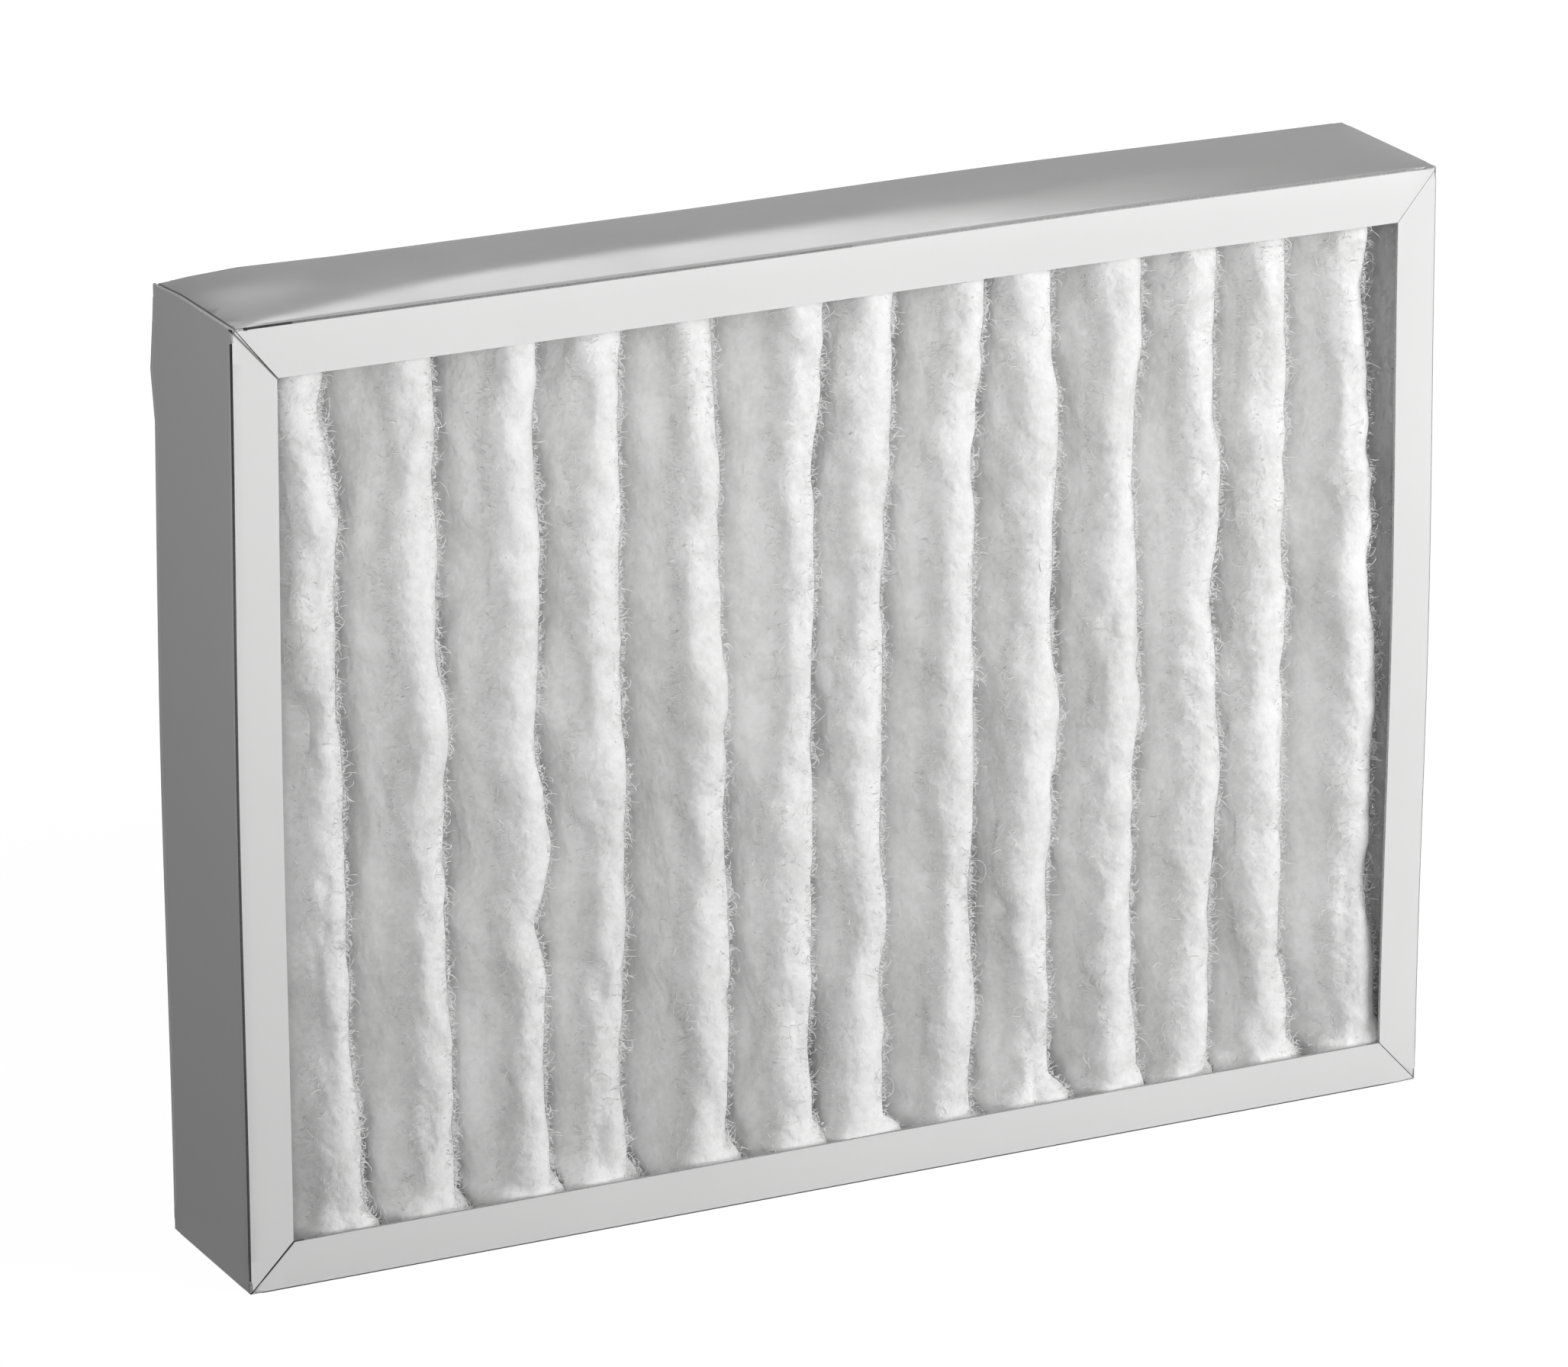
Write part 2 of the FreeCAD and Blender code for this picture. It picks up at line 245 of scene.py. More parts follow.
def face_of_sheet(centres, headings, sides, face):
    """One face of the sheet, 1 for the front or -1 for the back: points, outward normals and free room,
    rows by columns, and for each column how far along the sheet it is and which fold or leg it is on."""
    offset = face * FLEECE / 2
    rows, folds = len(centres), len(sides)
    points, normals, room, groups = [], [], [], []

    def add(point, angle, free, group):
        points.append(point)
        normals.append(face * np.stack([np.sin(angle), -np.cos(angle)], axis=-1))
        room.append(free)
        groups.append(group)

    arcs = []
    for fold, side in enumerate(sides):
        came, goes = headings[:, fold], headings[:, fold + 1]
        steps = INNER_STEPS if side == face else OUTER_STEPS[face]
        reach = side * FOLD_MIDDLE - offset
        arc = []
        for step in range(steps + 1):
            angle = came + (goes - came) * step / steps
            away = np.stack([np.sin(angle), -np.cos(angle)], axis=-1)
            arc.append((centres[:, fold] - away * reach, angle))
        arcs.append(arc)
    starts = [np.tile([PACK_LOW[0] + FLEECE / 2 + offset, PACK_LOW[1]], (rows, 1))]
    starts += [arc[-1][0] for arc in arcs]
    ends = [arc[0][0] for arc in arcs]
    ends += [np.tile([PACK_HIGH[0] - FLEECE / 2 - offset, PACK_LOW[1]], (rows, 1))]
    for leg in range(folds + 1):
        start, end = starts[leg], ends[leg]
        length = np.hypot(*(end - start).T)
        narrow_first = leg > 0 and sides[leg - 1] == face
        narrow_last = leg < folds and sides[leg] == face
        from_crest = leg == 0 and face > 0 or leg > 0 and sides[leg - 1] == -face
        first_step = 1 if leg > 0 else 0
        last_step = LEG_STEPS[face] - 1 if leg < folds else LEG_STEPS[face]
        for step in range(first_step, last_step + 1):
            share = step / LEG_STEPS[face]
            share = share ** LEG_CROWDING if from_crest else 1 - (1 - share) ** LEG_CROWDING
            free = np.full(rows, WALL_ROOM)
            if narrow_first or narrow_last:
                from_narrow = length * (share if narrow_first else 1 - share)
                fold = leg - 1 if narrow_first else leg
                turn = np.abs(headings[:, fold + 1] - headings[:, fold])
                free = FOLD_INSIDE + from_narrow * np.sin((math.pi - turn) / 2)
            add(start + (end - start) * share, headings[:, leg], free, ("leg", leg))
        if leg < folds:
            free = FOLD_INSIDE * INSIDE_ROOM if sides[leg] == face else OUTSIDE_ROOM
            for point, angle in arcs[leg]:
                add(point, angle, np.full(rows, free), ("fold", leg))
    points, normals, room = (np.stack(values, axis=1) for values in (points, normals, room))
    middle = points[rows // 2]
    along = np.concatenate(([0.0], np.cumsum(np.hypot(*np.diff(middle, axis=0).T))))
    return points, normals, room, along, groups


def swelling(room, along, depths, sideways, groups, face):
    """How far each point of a face stands out from the even sheet. The lower end spreads sideways."""
    depth = depths[:, None]
    along = along[None, :] + (0 if face > 0 else BACK_SHIFT)
    total = np.zeros(room.shape)
    for number, (across, down, reach) in enumerate(LUMPS):
        total += reach * noise(along / across, depth / down + 0.37 * number, LUMP_LAYER + number)
    flatter = 1 - LUMPS_RIGHT * np.clip(sideways, 0, 1)
    total *= np.minimum(1.0, LUMPS_FREE[0] + room / LUMPS_FREE[1]) * flatter
    for crest, beside, share, half_width, half_height, dent in DENTS if face > 0 else ():
        on_crest = [group == ("fold", 2 * crest - 1) for group in groups]
        place = along[:, on_crest].mean() + beside
        across = (along - place) / half_width
        down = (depth - share * depths[-1]) / half_height
        total -= dent * np.exp(-across ** 2 - down ** 2)
    spread = varied(along, depth, FOOT_SPREAD, SPREAD_LAYER)
    rise = (depths[-1] - depth) / (FOOT_HEIGHT * varied(along, depth, FOOT_RISE, RISE_LAYER))
    mound = 0.75 * np.clip(1.0 - rise ** 2, 0, 1) ** 0.6 + 0.25 * np.exp(-(rise ** 1.2))
    total += FOOT_REACH * (FOOT_FORWARD + (1 - FOOT_FORWARD) * np.abs(sideways)) * spread * mound
    total += HEAD_REACH * spread * np.exp(-((depth / HEAD_HEIGHT) ** 1.6))
    total = np.minimum(total, ROOM_USED * room)
    if face > 0:
        pressed = np.array([group in (groups[0], groups[-1]) for group in groups])
        total[:, pressed] = END_LUMPS * total[:, pressed] - END_PRESSED
    return total


def stitch(first, second, flip):
    """Triangles between two chains of point numbers that start and end side by side."""
    faces = []
    a, b = 0, 0
    while a < len(first) - 1 or b < len(second) - 1:
        share_a = (a + 1) / (len(first) - 1) if a < len(first) - 1 else 2.0
        share_b = (b + 1) / (len(second) - 1) if b < len(second) - 1 else 2.0
        if share_a <= share_b:
            face = (first[a], first[a + 1], second[b])
            a += 1
        else:
            face = (first[a], second[b + 1], second[b])
            b += 1
        faces.append(face[::-1] if flip else face)
    return faces


def cap(front_ids, front_groups, back_ids, back_groups, flip):
    """Closes one end of the sheet, fold by fold and leg by leg."""
    front_ends = {group: column for column, group in enumerate(front_groups)}
    back_ends = {group: column for column, group in enumerate(back_groups)}
    faces = []
    front_start, back_start = 0, 0
    for group, front_end in front_ends.items():
        back_end = back_ends[group]
        front_chain = front_ids[front_start:front_end + 1]
        back_chain = back_ids[back_start:back_end + 1]
        faces += stitch(front_chain, back_chain, flip)
        front_start, back_start = front_end, back_end
    return faces


def grid_faces(ids, flip):
    """Quads between neighbouring rows and columns of point numbers."""
    quads = np.stack([ids[:-1, :-1], ids[1:, :-1], ids[1:, 1:], ids[:-1, 1:]], axis=-1).reshape(-1, 4)
    return (quads[:, ::-1] if flip else quads).tolist()


def pleated_sheet():
    """The whole sheet, closed all round, and its two faces for the fibres to grow on."""
    height = PACK_HIGH[2] - PACK_LOW[2]
    above_foot = height - FOOT_ROWS[0]
    upper = np.linspace(0, above_foot, round(above_foot / ROW_STEP) + 1)
    depths = np.concatenate([upper[:-1], np.linspace(upper[-1], height, FOOT_ROWS[1] + 1)])
    centres = fold_centres(depths / height, depths)
    sides = np.where(np.arange(centres.shape[1]) % 2 == 0, 1, -1)
    headings = leg_headings(centres, sides)
    z = (PACK_HIGH[2] - depths)[:, None]
    faces, all_points, ids, groups, shown = [], [], {}, {}, {}
    count = 0
    for face in (1, -1):
        points, normals, room, along, groups[face] = face_of_sheet(centres, headings, sides, face)
        swollen = swelling(room, along, depths, normals[..., 0], groups[face], face)
        moved = np.clip(points + normals * swollen[..., None], SHEET_LOW, SHEET_HIGH)
        solid = np.dstack([moved, np.broadcast_to(z, moved.shape[:2])])
        ids[face] = count + np.arange(moved.shape[0] * moved.shape[1]).reshape(moved.shape[:2])
        count += ids[face].size
        all_points.append(solid.reshape(-1, 3))
        faces += grid_faces(ids[face], face < 0)
        shown[face] = {"points": solid, "room": room, "along": along, "sideways": normals[..., 0]}
    for row, flip in ((0, False), (-1, True)):
        faces += cap(ids[1][row], groups[1], ids[-1][row], groups[-1], flip)
    for column, flip in ((0, True), (-1, False)):
        rim = np.stack([ids[1][:, column], ids[-1][:, column]], axis=1)
        faces += grid_faces(rim, flip)
    return mesh_object("fleece_sheet", np.concatenate(all_points), faces), shown


# Loose fibres


def unit(vectors):
    return vectors / np.maximum(np.linalg.norm(vectors, axis=-1, keepdims=True), 1e-9)


def roots_on(side, face, count, wanted, stray, rng):
    """Random places on a face, with the outward normal and a direction along the surface at each.
    Fibres that grow close together point nearly the same way."""
    points = side["points"]
    across = points[:-1, 1:] - points[:-1, :-1]
    down = points[1:, :-1] - points[:-1, :-1]
    normal = np.cross(down, across)
    weights = wanted[:-1, :-1] * np.linalg.norm(normal, axis=-1)
    chosen = rng.choice(weights.size, count, p=(weights / weights.sum()).ravel())
    row, column = np.unravel_index(chosen, weights.shape)
    u, v = rng.random((2, count, 1))
    place = points[row, column] + across[row, column] * u + down[row, column] * v
    outward = unit(normal[row, column]) * face
    sideways = unit(across[row, column])
    most, spacing_across, spacing_down = COMBING
    distance = side["along"][column, None]
    combed = most * noise(distance / spacing_across, place[:, 2:] / spacing_down, COMB_LAYER)
    angle = combed + stray * rng.normal(size=(count, 1))
    along = sideways * np.cos(angle) + np.cross(outward, sideways) * np.sin(angle)
    return place, outward, unit(along)


def tube_faces(steps):
    """The triangles of one fibre: a point, rings of three points, and a point."""
    faces = [(0, 1 + (corner + 1) % 3, 1 + corner) for corner in range(3)]
    for ring in range(steps - 2):
        base = 1 + 3 * ring
        for corner in range(3):
            near, far = base + corner, base + (corner + 1) % 3
            faces += [(near, far, far + 3), (near, far + 3, near + 3)]
    last = 1 + 3 * (steps - 1)
    faces += [(last, last - 3 + corner, last - 3 + (corner + 1) % 3) for corner in range(3)]
    return np.array(faces)


def fibre_tubes(name, place, outward, along, kind, rng):
    """Thin closed tubes with three sides, pointed at both ends, each bent to its own curl."""
    count, steps = len(place), kind["steps"]
    length = rng.uniform(*kind["length"], (count, 1))
    lift = rng.uniform(*kind["lift"], (count, 1))
    heading = unit(along + outward * lift)
    axis = np.cross(heading, rng.normal(size=(count, 3))) + outward * rng.normal(size=(count, 1))
    axis = unit(axis)
    axis = unit(axis - heading * (axis * heading).sum(-1, keepdims=True))
    turn = rng.uniform(*kind["curl"], (count, 1)) / steps
    step = length / steps
    line, ways = [place - outward * FIBRE_ROOT], []
    for _ in range(steps):
        ways.append(heading)
        line.append(line[-1] + heading * step)
        heading = unit(heading * np.cos(turn) + np.cross(axis, heading) * np.sin(turn) + axis * FIBRE_TWIST)
    ways.append(heading)
    line = np.clip(np.stack(line, axis=1), PACK_LOW + FIBRE_ROOM, PACK_HIGH - FIBRE_ROOM)
    ways = np.stack(ways, axis=1)
    side = unit(np.cross(ways, axis[:, None, :]))
    other = np.cross(side, ways)
    thickness = kind["radius"] * rng.uniform(*FIBRE_THICKNESS, (count, 1, 1))
    corners = []
    for corner in range(3):
        angle = 2 * math.pi * corner / 3
        reach = side * math.cos(angle) + other * math.sin(angle)
        corners.append(line[:, 1:-1] + reach[:, 1:-1] * thickness)
    rings = np.stack(corners, axis=2).reshape(count, -1, 3)
    points = np.concatenate([line[:, :1], rings, line[:, -1:]], axis=1)
    faces = tube_faces(steps)[None] + (np.arange(count) * points.shape[1])[:, None, None]
    return mesh_object(name, points.reshape(-1, 3), faces.reshape(-1, 3).tolist())


def growth(side, face):
    """How thickly each kind of fibre stands at each point of a face: in tufts, and mostly on the crests."""
    middle = (PACK_LOW[1] + PACK_HIGH[1]) / 2
    away = face * (side["points"][..., 1] - middle) / (PACK_HIGH[1] - PACK_LOW[1])
    towards = np.clip(0.5 - away, 0, 1)
    crest = np.clip((towards - FIBRE_CREST[0]) / FIBRE_CREST[1], 0, 1)
    edge = np.abs(side["sideways"]) * (1 + 0.5 * (side["sideways"] > 0))
    open_share = np.clip(side["room"] - OPEN_ROOM, 0, 1)
    tufts = noise(side["along"][None, :] / TUFTS[0], side["points"][..., 2] / TUFTS[1], TUFT_LAYER)
    clumps = smooth(np.clip(0.5 + 1.2 * tufts, 0, 1))
    return {
        "lint": (0.2 + towards) * (0.2 + clumps),
        "fuzz": (0.02 + crest * (0.05 + edge ** 2)) * (0.5 + clumps),
        "wisps": (0.03 + crest * (0.03 + edge ** 2)) * (0.2 + clumps),
        "strays": 0.1 + 1.5 * open_share * clumps,
    }


def loose_fibres(shown):
    """All the loose fibres, kind by kind, in pieces of no more than the limit."""
    made = []
    rng = np.random.default_rng(29)
    for face, share, name in FIBRE_FACES:
        wanted = growth(shown[face], face)
        for word, kind in LOOSE.items():
            count = int(kind["count"] * share)
            parts = math.ceil(count * 6 * (kind["steps"] - 1) / PIECE_LIMIT)
            for part in range(parts):
                roots = roots_on(shown[face], face, count // parts, wanted[word], kind["stray"], rng)
                label = f"{word}_{name}" + (f"_{part + 1}" if parts > 1 else "")
                made.append(fibre_tubes(label, *roots, kind, rng))
    return made


# The card frame

CARD_CUTS = {                 # where the card is divided so that it can bend: first, last and how many
    (1, 0, 0): (-144.0, 144.0, 25),
    (0, 1, 0): (-20.0, 20.0, 17),
    (0, 0, 1): (8.0, 220.0, 18),
}
CARD_PUSHES = (               # place, push and how far it reaches round that place
    ((-152.5, 22.25, 228.0), (0.0, 0.0, -0.9), 17.0),
    ((-152.5, 22.25, 214.0), (-1.0, 0.0, 0.0), 14.0),
    ((-152.5, 22.25, 120.0), (-0.8, 0.0, 0.0), 110.0),
    ((-132.0, 14.0, 228.0), (0.0, 0.0, 0.5), 26.0),
    ((60.0, 22.25, 228.0), (0.0, 0.0, 0.6), 90.0),
    ((152.5, -22.25, 120.0), (0.9, 0.0, 0.0), 100.0),
)

# The top wall's soft crease. It runs back steeply from the open corner and then gently. Places are shares
# of the wall's length, along it from the left, and of its depth, back from the front.
CREASE_CUTS = (((0.01, 0.0), (0.19, 0.28)), ((0.0, 0.246), (1.0, 0.433)))    # both parts' starts and ends
CREASE_DEPTH = 0.746          # how far back it goes, as a share of what follows
CREASE_STEEP = (2.0, -0.02)   # slope and start of its first part
CREASE_GENTLE = (0.25, 0.33)  # the same for its second part
CREASE_SOFTNESS = (0.02, 0.5) # how round it is at the open corner, and how much rounder at the other end
CREASE_FADE = (0.65, 0.40, 0.36)      # how much it fades, from where and over how much of the wall's length
CREASE_END = 0.06             # the length over which it fades out at the right end
WALL_RISE = 5.2               # how steeply the wall climbs up to it, in mm for the wall's whole depth
WALL_SAG = 1.5                # how evenly it sags behind the crease: 1 is straight
WALL_FRONT = 0.022            # the depth of the front edge, which stays where it is
WALL_THICKNESS = 1.2          # the depth below the top that moves with the wall


def push(mesh, place, move, reach):
    """Moves the point nearest a place, and its surroundings follow less and less."""
    bpy.ops.object.mode_set(mode="OBJECT")
    nearest = min(mesh.vertices, key=lambda vertex: (vertex.co - Vector(place) * MM).length)
    nearest.select = True
    bpy.ops.object.mode_set(mode="EDIT")
    bpy.ops.transform.translate(
        value=Vector(move) * MM, use_proportional_edit=True, proportional_edit_falloff="SMOOTH",
        proportional_size=reach * MM, use_proportional_connected=False,
    )
    bpy.ops.mesh.select_all(action="DESELECT")


def cut(place, normal):
    """Divides the card along a plane."""
    bpy.ops.mesh.select_all(action="SELECT")
    bpy.ops.mesh.bisect(plane_co=place, plane_no=normal)


def wall_bulge(place):
    """How far the top wall stands up at a place on it: it climbs from its front edge to the soft crease
    and sags from there to its back edge."""
    along = (place.x * PER_METRE - FRAME_LOW[0]) / (FRAME_HIGH[0] - FRAME_LOW[0])
    back = (place.y * PER_METRE - FRAME_LOW[1]) / (FRAME_HIGH[1] - FRAME_LOW[1])
    if place.z * PER_METRE < FRAME_HIGH[2] - WALL_THICKNESS or back < WALL_FRONT:
        return 0.0
    steep, gentle = (slope * along + start for slope, start in (CREASE_STEEP, CREASE_GENTLE))
    crease = CREASE_DEPTH * max(min(steep, gentle), 0.0)
    softness = CREASE_SOFTNESS[0] + CREASE_SOFTNESS[1] * along
    near = max(softness - abs(back - crease), 0.0) / softness
    climbed = max(min(back, crease) - near ** 3 * softness / 6, 0.0)
    faded, fade_from, fade_length = CREASE_FADE
    fading = 1.0 - faded * smooth(min(max((along - fade_from) / fade_length, 0.0), 1.0))
    fading *= smooth(min(max((1.0 - along) / CREASE_END, 0.0), 1.0))
    sagged = 1.0 - max((back - crease) / (1.0 - crease), 0.0) ** WALL_SAG
    return WALL_RISE * climbed * fading * sagged


def folded_card(node):
    """The frame's card as it sits once folded and glued: the same sheet, a little bulged and pulled."""
    bpy.ops.object.select_all(action="DESELECT")
    node.select_set(True)
    bpy.context.view_layer.objects.active = node
    bpy.ops.object.duplicate()
    piece = bpy.context.object
    piece.name = "folded_card"
    bpy.ops.object.parent_clear(type="CLEAR_KEEP_TRANSFORM")
    bpy.ops.object.transform_apply(location=True, rotation=True, scale=True)
    bpy.ops.object.mode_set(mode="EDIT")
    bpy.ops.mesh.select_all(action="SELECT")
    bpy.ops.mesh.remove_doubles(threshold=0.002 * MM)
    bpy.ops.mesh.dissolve_limited(angle_limit=math.radians(0.5))
    for normal, (first, last, count) in CARD_CUTS.items():
        for place in np.linspace(first, last, count):
            cut(Vector(normal) * place * MM, normal)
    for part in CREASE_CUTS:
        start, end = (FRAME_LOW[:2] + (FRAME_HIGH[:2] - FRAME_LOW[:2]) * shares for shares in part)
        along = end - start
        cut((*(start * MM), 0.0), (-along[1], along[0], 0.0))
    bpy.ops.mesh.select_all(action="DESELECT")
    bpy.ops.object.mode_set(mode="OBJECT")
    flat_places = piece.data.attributes.new("flat_place", "FLOAT_VECTOR", "POINT")
    flat_places.data.foreach_set("vector", [value for vertex in piece.data.vertices for value in vertex.co])
    bulge = piece.vertex_groups.new(name="top_wall_bulge")
    for vertex in piece.data.vertices:
        bulge.add([vertex.index], wall_bulge(vertex.co) / WALL_RISE, "REPLACE")
    bpy.ops.object.modifier_add(type="DISPLACE")
    lift = piece.modifiers[-1]
    lift.direction, lift.mid_level, lift.strength = "Z", 0.0, WALL_RISE * MM
    lift.vertex_group = bulge.name
    bpy.ops.object.modifier_apply(modifier=lift.name)
    for place, move, reach in CARD_PUSHES:
        push(piece.data, place, move, reach)
    bpy.ops.object.mode_set(mode="OBJECT")
    bpy.ops.object.shade_smooth_by_angle(angle=math.radians(25))
    bpy.ops.object.modifier_add(type="WEIGHTED_NORMAL")
    even = piece.modifiers[-1]
    even.keep_sharp, even.weight = True, 100
    bpy.ops.object.modifier_apply(modifier=even.name)
    return piece


# Materials


class Finish:
    """A material that is built up node by node. A pattern's place is where the piece is, in metres."""

    def __init__(self, name):
        self.material = bpy.data.materials.new(name)
        self.material.use_nodes = True
        self.nodes = self.material.node_tree.nodes
        self.links = self.material.node_tree.links
        self.shader = self.nodes["Principled BSDF"]
        self.place = self.nodes.new("ShaderNodeTexCoord").outputs["Object"]

    def link(self, value, socket):
        """Joins an output to a socket, or sets the socket to a plain value."""
        if isinstance(value, bpy.types.NodeSocket):
            self.links.new(value, socket)
        else:
            socket.default_value = value

    def math(self, operation, *values, clamp=False):
        node = self.nodes.new("ShaderNodeMath")
        node.operation, node.use_clamp = operation, clamp
        for number, value in enumerate(values):
            self.link(value, node.inputs[number])
        return node.outputs[0]

    def times(self, first, second):
        return self.math("MULTIPLY", first, second)

    def less(self, value, limit):
        """1 where the value is less than the limit, otherwise 0."""
        return self.math("LESS_THAN", value, limit)

    def parts_of_place(self):
        """X, Y and Z of the place."""
        split = self.nodes.new("ShaderNodeSeparateXYZ")
        self.link(self.place, split.inputs[0])
        return split.outputs

    def texture(self, mapping, size, detail, distortion):
        """Noise on a mapping of the place, with lumps about size millimetres across."""
        self.link(self.place, mapping.inputs["Vector"])
        node = self.nodes.new("ShaderNodeTexNoise")
        self.link(mapping.outputs[0], node.inputs["Vector"])
        node.inputs["Scale"].default_value = PER_METRE / size
        node.inputs["Detail"].default_value = detail
        node.inputs["Distortion"].default_value = distortion
        return node

    def noise(self, size, detail=2.0, roughness=0.5, stretch=(1, 1, 1), distortion=0.0):
        mapping = self.nodes.new("ShaderNodeMapping")
        mapping.inputs["Scale"].default_value = stretch
        node = self.texture(mapping, size, detail, distortion)
        node.inputs["Roughness"].default_value = roughness
        return node.outputs["Fac"]

    def streaks(self, size, length, turn):
        """Noise drawn out along one direction, length times as far as across.
        Turn is in degrees, about Y and Z."""
        mapping = self.nodes.new("ShaderNodeMapping")
        mapping.vector_type = "TEXTURE"
        mapping.inputs["Rotation"].default_value = (0.0, math.radians(turn[0]), math.radians(turn[1]))
        mapping.inputs["Scale"].default_value = (length, 1, 1)
        return self.texture(mapping, size, 1.0, 0.4).outputs["Fac"]

    def blend(self, *parts):
        """The sum of (pattern, share) pairs."""
        total = 0.0
        for pattern, share in parts:
            total = self.math("MULTIPLY_ADD", pattern, share, total)
        return total

    def ramp(self, value, low, high):
        """A colour for each value, between two (place, colour) pairs."""
        node = self.nodes.new("ShaderNodeValToRGB")
        for stop, (where, colour) in zip(node.color_ramp.elements, (low, high)):
            stop.position, stop.color = where, (*colour, 1.0)
        self.link(value, node.inputs["Fac"])
        return node.outputs["Color"]

    def mix(self, share, first, second):
        node = self.nodes.new("ShaderNodeMix")
        node.data_type = "RGBA"
        self.link(share, node.inputs["Factor"])
        self.link(first, node.inputs["A"])
        self.link(second, node.inputs["B"])
        return node.outputs["Result"]

    def bump(self, height, distance, strength=1.0):
        """Bump, whose distance is the height in millimetres that 1 stands for."""
        node = self.nodes.new("ShaderNodeBump")
        node.inputs["Strength"].default_value = strength
        node.inputs["Distance"].default_value = distance * MM
        self.link(height, node.inputs["Height"])
        return node.outputs["Normal"]

    def set(self, **sockets):
        for name, value in sockets.items():
            self.link(value, self.shader.inputs[name.replace("_", " ")])
        return self.material


def grey(value, warm=0.0):
    return (value * (1 + warm), value, value * (1 - warm))


# Painted shade in the fleece's low hollows, greying the colour towards the bottom and the back: how high it
# reaches, and how far from the front, in metres
PAINTED_HOLLOW_HEIGHT = 0.032
PAINTED_HOLLOW_FRONT = (-0.013, 0.010)  # where there is none yet, and over which depth it grows
PAINTED_HOLLOW_SHARE = 0.35


def fleece_finish():
    """Soft white fleece, a little denser in some places than in others, with painted shade low down and
    deep in, in its hollows.
    """
    f = Finish("white_fleece")
    clouds = f.noise(5.0, 2.0, 0.6)
    feathers = f.streaks(1.6, 2.6, (25, 55))
    felt = f.streaks(0.5, 5.0, (-38, -50))
    patches = f.noise(16.0, 1.0, 0.5, (1.0, 1.0, 0.6), 0.5)
    tone = f.blend((patches, 0.35), (clouds, 0.35), (feathers, 0.18), (felt, 0.12))
    colour = f.ramp(tone, (0.38, grey(0.81, 0.004)), (0.60, grey(0.98, 0.001)))
    _, y, z = f.parts_of_place()
    # Painted shade: the colour greys towards the bottom and towards the back of the channels
    low = f.math("MULTIPLY_ADD", z, -1 / PAINTED_HOLLOW_HEIGHT, 1.0, clamp=True)
    deep = f.math("MULTIPLY_ADD", y, 1 / PAINTED_HOLLOW_FRONT[1], -PAINTED_HOLLOW_FRONT[0] / PAINTED_HOLLOW_FRONT[1], clamp=True)
    painted_hollow_shade = f.times(f.times(low, deep), PAINTED_HOLLOW_SHARE)
    colour = f.mix(painted_hollow_shade, colour, (*grey(0.45), 1.0))
    tufts = f.noise(3.2, 1.0, 0.5)
    normal = f.bump(f.blend((tufts, 0.6), (feathers, 0.2), (felt, 0.1)), 1.0)
    return f.set(
        Base_Color=colour, Roughness=0.95, Normal=normal, Specular_IOR_Level=0.1,
        Sheen_Weight=0.2, Sheen_Roughness=0.5,
    )


def fibre_finish():
    """A single polyester fibre: clear white, with a faint glint."""
    f = Finish("loose_fibre")
    colour = f.ramp(f.noise(3.0), (0.3, grey(0.95, 0.001)), (0.7, grey(0.98, 0.001)))
    return f.set(Base_Color=colour, Roughness=0.5, Specular_IOR_Level=0.3)


# Where the card's colours change, in mm
SKIN = 0.05                   # thickness of the white coating
CORE_END = 0.86               # depth at which the grey core ends
GROOVE_WIDTH = 0.8            # of the groove outside a crease
GROOVE_STOP = 3.3             # how far from the corners it ends
MITRE_WIDTH = 0.3             # of the gap between two flanges, at the frame's corner
MITRE_SPREAD = 0.2            # how much it opens towards the fleece
MITRE_DEPTH = 0.95
MARGIN = 15.0                 # how wide the parts at the left end and the top are that have their own depth of painted shade
OPEN_CORNER = (55.0, 1.1)     # how far from the open corner the darker painted shade ends, and its strength there
# The painted shadow on the front face beside the open corner's gap
GAP_SLOPE = 1.127             # how steeply the open corner's gap climbs
PAINTED_GAP_SHADOW_FADE = (-2.4, 1.3)       # how fast the painted shadow fades on both sides of the gap, from which strength
GAP_REACH = 16.0              # how far from the left side it goes
GAP_SURFACE = 1.0             # and how deep below the front face

# Painted shade in the grooves and mitre gaps: how dark it is and where it is darker or lighter; and how
# dark the painted shadow beside the open corner's gap is
PAINTED_SHADE_BASE = 0.3
PAINTED_SHADE_LEFT = 0.4
PAINTED_SHADE_UPPER_RIGHT = -0.3
PAINTED_SHADE_OPEN_CORNER = 0.25
PAINTED_GAP_SHADOW = 0.8


